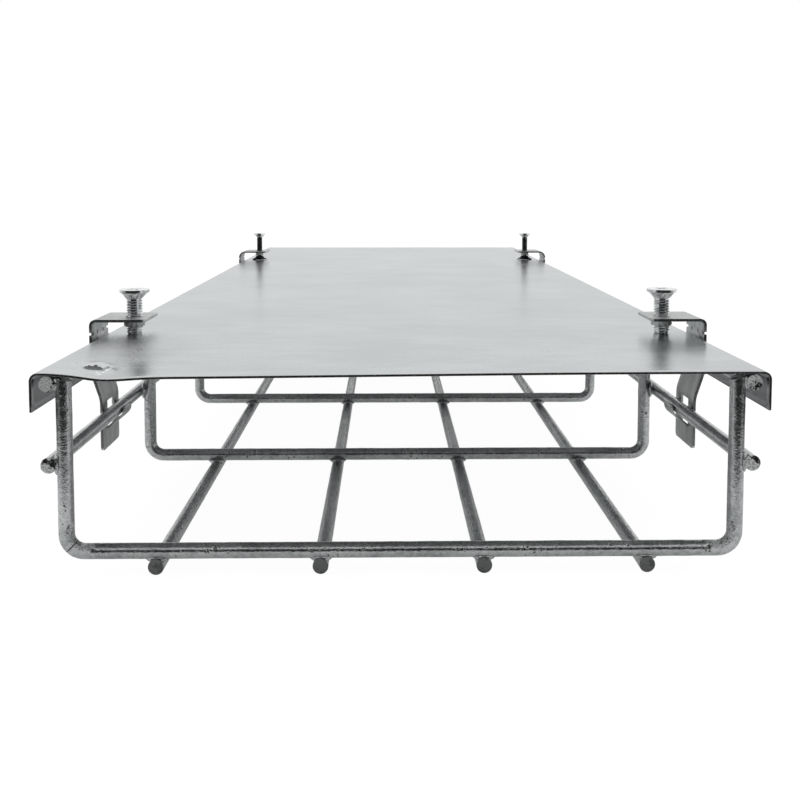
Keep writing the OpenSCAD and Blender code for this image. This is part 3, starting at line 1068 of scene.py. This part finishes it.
@dataclass
class StrapClamp:
    """Strap that hooks under a side wire and carries a screw over the cover."""

    finishes: Finishes
    end: End
    fold_r: float
    bore_r: float
    width: float = 20 * MM
    thickness: float = 1 * MM
    wire_r: float = 2.5 * MM
    clear: float = 0.3 * MM
    lean: tuple[float, float] = (49.8 * MM, 39 * MM)
    root_drop: float = 7 * MM
    finger_w: float = 8 * MM
    window_w: float = 8.6 * MM
    tip_rise: float = 0.8 * MM
    perforation_z: float = 63.6 * MM
    notch: tuple[float, float] = (1 * MM, 2.4 * MM)
    corner: float = 1.5 * MM
    collar_h: float = 2.6 * MM

    def build(self) -> None:
        """Model the right clamp, mirror it, and hand both over."""
        node = f"clamp_{self.end.value}_right"
        low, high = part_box(node)
        self.at_y = (low.y + high.y) / 2
        self.tab_end = low.x
        self.leg_x = high.x - self.thickness / 2
        self.tab_z = high.z - self.thickness / 2
        self.foot_z = low.z
        wire = middle("side_wire_right")
        self.wire_x, self.wire_z = wire.x, wire.z
        self.hook_r = self.wire_r + self.clear + self.thickness / 2
        self.tongue_x = self.wire_x + self.hook_r
        self.screw_x = middle(f"screw_{self.end.value}_right").x
        master = self.strap()
        for side in Side:
            mirrored = side is Side.LEFT
            name = f"strap_{self.end.value}_{side.word}"
            clamp = Bench.copy(master, name, (0, self.at_y, 0), mirrored)
            Bench.shade(clamp, 38)
            Bench.dress(clamp, self.finishes.strap, self.finishes.strap_edge)
            half = self.width / 2 - 0.06 * MM
            y0 = self.at_y
            Bench.paint(clamp, 1, lambda p, n: abs(n.y) > 0.8 and abs(p.y - y0) > half - 0.1 * MM)
            body = f"{self.end.value}_{side.word}_clamp"
            hand_over(clamp, body, f"clamp_{self.end.value}_{side.word}")
        bpy.data.objects.remove(master)

    def strap(self) -> Piece:
        """Model the right clamp at Y = 0."""
        piece = self.folded_strip()
        self.pierce(piece)
        Bench.modify(piece, "SOLIDIFY", thickness=self.thickness, offset=0, use_even_offset=True)
        Bench.clean(piece)
        self.drill(piece)
        Bench.soften(piece, 0.12 * MM, 2, 45)
        return Bench.face_out(piece)

    def folded_strip(self) -> Piece:
        """Fold the strip's middle surface: tab, fold, leg, lean and tongue."""
        mid_r = self.fold_r + self.thickness / 2
        fold_x = self.leg_x - mid_r
        Bench.clear()
        bpy.ops.mesh.primitive_plane_add(size=1)
        strip = Bench.name(bpy.context.object, "strap_master")
        strip.scale = (fold_x - self.tab_end, self.width, 1)
        strip.location = ((fold_x + self.tab_end) / 2, 0, self.tab_z)
        Bench.place(strip)
        with Bench.editing(strip, "EDGE"):
            Bench.pick(lambda p: p.x > fold_x - 0.01 * MM, "EDGE")
            bpy.ops.mesh.spin(
                steps=8, angle=-math.pi / 2, center=(fold_x, 0, self.tab_z - mid_r), axis=(0, 1, 0)
            )
            top, low = self.lean
            Bench.pull((0, 0, top - (self.tab_z - mid_r)))
            Bench.pull((self.tongue_x - self.leg_x, 0, low - top))
            Bench.pull((0, 0, self.foot_z - low))
            for z in (top, low):
                Bench.pick(lambda p, z=z: abs(p.z - z) < 0.01 * MM, "EDGE")
                bpy.ops.mesh.bevel(offset=1.6 * MM, segments=4, affect="EDGES")
        return strip

    def slit(self, at: Point, normal: Point) -> None:
        """Draw a line across the whole strip where a plane crosses it."""
        bpy.ops.mesh.select_all(action="SELECT")
        bpy.ops.mesh.bisect(plane_co=at, plane_no=normal, threshold=FINE_CUT)

    def pierce(self, strip: Piece) -> None:
        """Open the window, lance the finger and notch the bend line."""
        root = self.wire_z - self.root_drop
        start = -2 * math.atan(self.root_drop / self.hook_r)
        stop = -math.pi - math.asin(self.tip_rise / self.hook_r)
        window = (root, root + self.root_drop + self.hook_r * (start - stop))
        notch_h, notch_d = self.notch
        notch_y = self.width / 2 - notch_d
        with Bench.editing(strip, "FACE"):
            for y in (self.window_w / 2, self.finger_w / 2, notch_y):
                for sign in (-1, 1):
                    self.slit((0, sign * y, 0), (0, 1, 0))
            low, high = (self.perforation_z + sign * notch_h / 2 for sign in (-1, 1))
            for z in (*window, low, high):
                self.slit((0, 0, z), (0, 0, 1))
            Bench.pick(
                lambda p: p.x > self.tongue_x - MM and low < p.z < high and abs(p.y) > notch_y,
                "FACE",
            )
            bpy.ops.mesh.delete(type="FACE")
            half = self.window_w / 2
            Bench.pick(lambda p: window[0] < p.z < window[1] and abs(p.y) < half, "FACE")
            bpy.ops.mesh.delete(type="FACE")
            finger = self.finger_w / 2
            Bench.pick(lambda p: abs(p.z - root) < 0.01 * MM and abs(p.y) < finger, "EDGE")
            meet = (
                self.wire_x + self.hook_r * math.cos(start),
                self.wire_z + self.hook_r * math.sin(start),
            )
            Bench.pull((meet[0] - self.tongue_x, 0, meet[1] - root))
            bpy.ops.mesh.spin(
                steps=8, angle=stop - start, center=(self.wire_x, 0, self.wire_z), axis=(0, 1, 0)
            )
            self.round_tip(meet[0])
            self.trim_corners()

    def round_tip(self, before: float) -> None:
        """Round the finger's tip."""
        tip_z = self.wire_z + self.tip_rise
        Bench.pick(
            lambda p: p.x < before and abs(p.z - tip_z) < 0.05 * MM
            and abs(abs(p.y) - self.finger_w / 2) < 0.05 * MM
        )
        bpy.ops.mesh.bevel(offset=self.finger_w * 0.36, segments=6, affect="VERTICES")

    def trim_corners(self) -> None:
        """Round the corners of the tab and of the tongue's foot."""
        half = self.width / 2

        def at_corner(p: Vector) -> bool:
            at_end = abs(p.x - self.tab_end) < 0.05 * MM or abs(p.z - self.foot_z) < 0.05 * MM
            return at_end and abs(abs(p.y) - half) < 0.05 * MM

        Bench.pick(at_corner)
        bpy.ops.mesh.bevel(offset=self.corner, segments=5, affect="VERTICES")

    def drill(self, piece: Piece) -> None:
        """Drill the bend line's holes and the bore, and add the drawn collar."""
        drills = []
        for sign in (-1, 1):
            Bench.clear()
            bpy.ops.mesh.primitive_cylinder_add(
                vertices=20, radius=0.8 * MM, depth=4 * MM,
                location=(self.leg_x, sign * self.width / 6, self.perforation_z),
                rotation=(0, math.pi / 2, 0),
            )
            drills.append(Bench.place(bpy.context.object))
        Bench.combine(piece, Bench.join(drills, "drills"), "DIFFERENCE")
        Bench.combine(piece, self.collar(), "UNION")
        Bench.clear()
        bpy.ops.mesh.primitive_cylinder_add(
            vertices=32, radius=self.bore_r, depth=12 * MM,
            location=(self.screw_x, 0, self.tab_z - MM),
        )
        Bench.combine(piece, Bench.place(bpy.context.object), "DIFFERENCE")

    def collar(self) -> Piece:
        """Model the torn neck that is drawn down round the screw."""
        top = self.tab_z - self.thickness * 0.3
        low = self.tab_z - self.thickness / 2 - self.collar_h
        wide, narrow = self.bore_r + 0.95 * MM, self.bore_r + 0.5 * MM
        bend = self.bore_r + 1.5 * MM
        profile = [
            (0, top), (bend, top), (bend, top - 0.25 * MM), (wide, top - 0.8 * MM),
            (narrow + 0.1 * MM, (top + low) / 2), (narrow, low), (0, low),
        ]
        neck = Bench.turned(profile, "collar", 32)
        with Bench.editing(neck):
            Bench.pick(lambda p: p.z < low + 0.05 * MM and math.hypot(p.x, p.y) > narrow * 0.9)
            bpy.ops.transform.vertex_random(offset=0.7 * MM, seed=11)
            Bench.pick(lambda p: low + 0.3 * MM < p.z < top - 0.5 * MM)
            bpy.ops.transform.vertex_random(offset=0.4 * MM, seed=5)
        neck.location.x = self.screw_x
        return Bench.place(neck)


# ---------------------------------------------------------------- the screws


@dataclass
class MachineScrew:
    """Countersunk screw with a fine thread and a cross recess."""

    finishes: Finishes
    end: End
    shank_r: float
    head_r: float
    pitch: float
    thread_depth: float
    run_in: float = 2.0137
    rim: float = 1.15 * MM
    neck_gap: float = 0.3 * MM
    tip_bevel: float = 0.6 * MM
    recess_share: float = 0.55
    recess_w: float = 1.0 * MM
    recess_depth: float = 1.6 * MM
    steps: int = 40

    def build(self) -> None:
        """Model the screw once and set it on both sides."""
        low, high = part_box(f"screw_{self.end.value}_right")
        self.low, self.high = low.z, high.z
        self.head_h = 0.9 * (self.head_r - self.shank_r) + self.rim
        master = self.screw()
        for side in Side:
            node = f"screw_{self.end.value}_{side.word}"
            at = middle(node)
            piece = Bench.copy(master, f"threaded_{node}", (at.x, at.y, 0))
            Bench.dress(piece, self.finishes.screw, self.finishes.plate)
            # Rear screws only: the shank below the head takes the dark plate finish, so it renders
            # darker than the head.
            if self.end is End.REAR:
                Bench.paint(piece, 1, lambda p, n: p.z < self.high - self.head_h - 0.1 * MM)
            hand_over(piece, f"{self.end.value}_{side.word}_screw", node)
        bpy.data.objects.remove(master)

    def screw(self) -> Piece:
        """Thread the shank and set the head on it."""
        shank = self.thread()
        head = self.head()
        Bench.combine(shank, head, "UNION")
        for turn in (45, 135):
            Bench.combine(shank, self.recess(turn), "DIFFERENCE")
        Bench.clean(shank, 2e-6)
        return Bench.shade(shank, 35)

    def thread(self) -> Piece:
        """Wind the thread and cut it to the screw's length, with a bevelled tip.

        The thread starts an odd number of turns below the tip, so no ring of it lies in a cut.
        """
        root = self.shank_r - self.thread_depth
        p = self.pitch
        turns = math.ceil((self.high - self.low) / p)
        start = self.low - self.run_in * p
        profile = [
            (root, start), (root, start + 0.10 * p), (self.shank_r, start + 0.36 * p),
            (self.shank_r, start + 0.74 * p), (root, start + p),
        ]
        shank = Bench.outline(profile, "screw_master")
        Bench.modify(
            shank, "SCREW", angle=math.tau, screw_offset=p, iterations=turns + 4, axis="Z",
            steps=self.steps, render_steps=self.steps, use_merge_vertices=True,
            merge_threshold=1e-6, use_smooth_shade=True,
        )
        neck = self.high - self.head_h - self.neck_gap
        with Bench.editing(shank):
            for z, outer in ((self.low, False), (neck, True)):
                bpy.ops.mesh.select_all(action="SELECT")
                bpy.ops.mesh.bisect(
                    plane_co=(0, 0, z), plane_no=(0, 0, 1), use_fill=True,
                    clear_outer=outer, clear_inner=not outer, threshold=FINE_CUT,
                )
        Bench.clean(shank)
        wide = self.shank_r + 0.5 * MM
        gauge = Bench.turned(
            [
                (0, self.low), (self.shank_r - self.tip_bevel, self.low),
                (wide, self.low + self.tip_bevel + 0.5 * MM), (wide, self.high), (0, self.high),
            ],
            "tip_gauge",
        )
        return Bench.combine(shank, gauge, "INTERSECT")

    def head(self) -> Piece:
        """Turn the countersunk head, with its upright rim and its flat top in rings."""
        under = self.high - self.head_h
        core = self.shank_r - self.thread_depth - 0.1 * MM
        sunk = under - self.neck_gap - 0.4 * MM
        profile = [(0, sunk), (core, sunk), (core, under - 0.05 * MM), (self.shank_r, under)]
        profile += [
            (self.shank_r + 0.64 * (self.head_r - self.shank_r), self.high - self.rim - 0.45 * MM),
            (self.head_r - 0.25 * MM, self.high - self.rim - 0.05 * MM),
            (self.head_r, self.high - self.rim + 0.1 * MM),
            (self.head_r, self.high - 0.12 * MM),
        ]
        rings = 6
        for i in range(rings):
            profile.append(((self.head_r - 0.12 * MM) * (1 - i / rings), self.high))
        profile.append((0, self.high))
        return Bench.turned(profile, "head")

    def recess(self, turn: float) -> Piece:
        """Model one tapered blade of the cross recess."""
        Bench.clear()
        depth = self.recess_depth + MM
        bpy.ops.mesh.primitive_cube_add(size=1)
        blade = bpy.context.object
        length = 2 * self.head_r * self.recess_share
        blade.scale = (length, self.recess_w, depth)
        blade.location = (0, 0, self.high - self.recess_depth + depth / 2)
        Bench.place(blade)
        with Bench.editing(blade, "FACE"):
            floor = self.high - self.recess_depth
            Bench.pick(lambda p: abs(p.z - floor) < 0.01 * MM, "FACE")
            bpy.ops.transform.resize(value=(0.7, 0.75, 1))
        blade.rotation_euler.z = math.radians(turn)
        return Bench.place(blade)


# ---------------------------------------------------------------- the foot washers


@dataclass
class FootWasher:
    """Low pressed cone under a rear screw, with a rolled rim."""

    finishes: Finishes
    base_r: float = 5.75 * MM
    top_r: float = 2.8 * MM
    height: float = 2.8 * MM
    sheet: float = 0.8 * MM

    def build(self) -> None:
        """Model the washer once and set it on both sides."""
        low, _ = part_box("foot_washer_right")
        base, h, t = low.z, self.height, self.sheet
        hollow_r = self.base_r - 1.5 * t
        profile = [
            (0, base + h), (self.top_r - 0.25 * MM, base + h), (self.top_r, base + h - 0.2 * MM),
            (self.top_r + 0.5 * MM, base + 0.62 * h), (self.base_r - 0.75 * MM, base + 0.32 * h),
            (self.base_r - 0.12 * MM, base + 0.2 * h), (self.base_r, base + 0.11 * h),
            (self.base_r - 0.1 * MM, base + 0.03 * h), (self.base_r - 0.35 * MM, base),
            (hollow_r, base), (self.top_r - 0.4 * MM, base + h - t), (0, base + h - t),
        ]
        master = Bench.turned(profile, "foot_master", 40)
        Bench.roughen(master, 0.12 * MM, 1.8 * MM)
        Bench.shade(master, 45)
        for side in Side:
            node = f"foot_washer_{side.word}"
            at = middle(node)
            foot = Bench.copy(master, f"pressed_{node}", (at.x, at.y, 0))
            Bench.dress(foot, self.finishes.plate, self.finishes.screw)
            rim = base + 0.2 * h
            Bench.paint(foot, 1, lambda p, n, rim=rim: p.z < rim)
            hand_over(foot, "tray", node)
        bpy.data.objects.remove(master)


# ---------------------------------------------------------------- the studio


@dataclass
class Studio:
    """White floor and sky, soft lamps, a dark card that only reflections see, and the camera."""

    camera_at: Point = (-5.15 * MM, -546.87 * MM, 118.55 * MM)
    camera_turn: Point = (86.36, -0.04, -0.903)
    lens: float = 41.12
    shift_y: float = -0.1964
    floor_glow: float = 0.92
    mirror_glow: float = 0.27
    black: float = 0.03
    dark_room: tuple[float, float, float, float] = (1.5, -0.36, -0.80, 0.39)
    wing: tuple[float, float] = (0.235, -0.06)

    def build(self) -> None:
        """Set up the floor, the dark card, the world, the lamps and the camera."""
        self.floor()
        self.dark_side()
        self.sky()
        self.lamp("overhead", (0, 0.75, 1.2), (0, 0.75, 0), 2.0, 14)
        self.lamp("from_right", (1.3, -0.35, 0.75), (0.1, -0.3, 0), 1.3, 7)
        self.lamp("from_left", (-1.3, -0.35, 0.75), (-0.1, -0.3, 0), 1.3, 6)
        self.camera()
        settings = bpy.context.scene.view_settings
        settings.view_transform = "Standard"

    def floor(self) -> None:
        """Lay a pale floor that stays white to the eye and takes a soft shadow."""
        Bench.clear()
        bpy.ops.mesh.primitive_plane_add(size=12)
        ground = Bench.name(bpy.context.object, "studio_floor")
        made = bpy.data.materials.new("studio_floor")
        graph = Graph(made)
        card = graph.node("ShaderNodeBsdfDiffuse", {}, {"Color": (0.85, 0.85, 0.85, 1)})["BSDF"]
        white = {"Color": (1, 1, 1, 1), "Strength": 1.05}
        glow = graph.node("ShaderNodeEmission", {}, white)["Emission"]
        rays = graph.node("ShaderNodeLightPath", {}, {})
        mirrored = rays["Is Glossy Ray"] + rays["Is Transmission Ray"]
        share = self.floor_glow * rays["Is Camera Ray"] + self.mirror_glow * mirrored
        graph.finish(graph.node("ShaderNodeMixShader", {}, {0: share, 1: card, 2: glow})["Shader"])
        Bench.dress(ground, made)

    def dark_side(self) -> None:
        """Set up a dark wall behind the camera and a dark mat before it, for reflections only."""
        made = bpy.data.materials.new("studio_black")
        graph = Graph(made)
        shade = (self.black,) * 3 + (1,)
        cloth = {"Base Color": shade, "Roughness": 1.0, "Specular IOR Level": 0.0}
        graph.finish(graph.node("ShaderNodeBsdfPrincipled", {}, cloth)["BSDF"])
        width, near, back, height = self.dark_room
        Bench.clear()
        bpy.ops.mesh.primitive_plane_add(size=1, location=(0, (near + back) / 2, 2 * MM))
        mat = Bench.name(bpy.context.object, "studio_dark_side")
        mat.scale = (width, near - back, 1)
        Bench.place(mat)
        inner, wing_end = self.wing
        with Bench.editing(mat, "EDGE"):
            Bench.pick(lambda p: abs(p.y - back) < MM, "EDGE")
            Bench.pull((0, 0, height))
            bpy.ops.mesh.select_all(action="SELECT")
            for x in (-inner, inner):
                bpy.ops.mesh.bisect(plane_co=(x, 0, 0), plane_no=(1, 0, 0))
                bpy.ops.mesh.select_all(action="SELECT")
            for sign in (-1, 1):
                Bench.pick(lambda p, s=sign: abs(p.y - near) < MM and p.x * s > inner, "EDGE")
                Bench.pull((0, wing_end - near, 0))
        Bench.dress(mat, made)
        mat.visible_camera = mat.visible_diffuse = mat.visible_shadow = False

    def sky(self) -> None:
        """Surround the scene with a white studio that has a dim ceiling over its front."""
        world = bpy.data.worlds.new("studio_sky")
        bpy.context.scene.world = world
        graph = Graph(world)
        aim = graph.node("ShaderNodeTexCoord", {}, {})["Generated"]
        forward = graph.axis(aim, "Y")
        ceiling = graph.axis(aim, "Z").above(0.79, 0.83) * (1 - forward.above(0.0, 0.3))
        rays = graph.node("ShaderNodeLightPath", {}, {})
        seen = rays["Is Camera Ray"] + rays["Is Glossy Ray"] + rays["Is Transmission Ray"]
        room = 0.25 + 0.65 * forward.above(-0.5, 0.3)
        light = seen * (1 - 0.83 * ceiling) + (1 - seen) * room
        shine = graph.node("ShaderNodeBackground", {}, {"Color": (1, 1, 1, 1), "Strength": light})
        graph.finish(shine["Background"], "ShaderNodeOutputWorld")

    def lamp(self, name: str, at: Point, aim: Point, size: float, power: float) -> None:
        """Hang a soft square lamp that points at a place and shows in no reflection."""
        Bench.clear()
        bpy.ops.object.light_add(type="AREA", location=at)
        lamp = bpy.context.object
        lamp.name = name
        lamp.data.shape = "SQUARE"
        lamp.data.size = size
        lamp.data.energy = power
        lamp.visible_glossy = False
        lamp.rotation_euler = (Vector(aim) - Vector(at)).to_track_quat("-Z", "Y").to_euler()

    def camera(self) -> None:
        """Set the camera in front of the tray, just over its cover."""
        Bench.clear()
        bpy.ops.object.camera_add(
            location=self.camera_at,
            rotation=tuple(math.radians(angle) for angle in self.camera_turn),
        )
        camera = bpy.context.object
        camera.data.sensor_width = 36
        camera.data.lens = self.lens
        camera.data.shift_y = self.shift_y
        camera.data.clip_start = 0.01
        camera.data.clip_end = 50
        bpy.context.scene.camera = camera


def main() -> None:
    """Build the basket piece by piece, then the studio round it."""
    logging.basicConfig(level=logging.INFO, format="%(message)s")
    finishes = Finishes()
    WeldedTray(finishes).build()
    FoldedCover(finishes).build()
    StrapClamp(finishes, End.FRONT, fold_r=1.3 * MM, bore_r=3.05 * MM).build()
    StrapClamp(finishes, End.REAR, fold_r=3.5 * MM, bore_r=2.05 * MM).build()
    MachineScrew(
        finishes, End.FRONT, shank_r=3 * MM, head_r=5.65 * MM, pitch=1.0 * MM,
        thread_depth=0.42 * MM,
    ).build()
    MachineScrew(
        finishes, End.REAR, shank_r=2 * MM, head_r=4 * MM, pitch=0.7 * MM, thread_depth=0.30 * MM
    ).build()
    FootWasher(finishes).build()
    Studio().build()


if __name__ == "__main__":
    main()
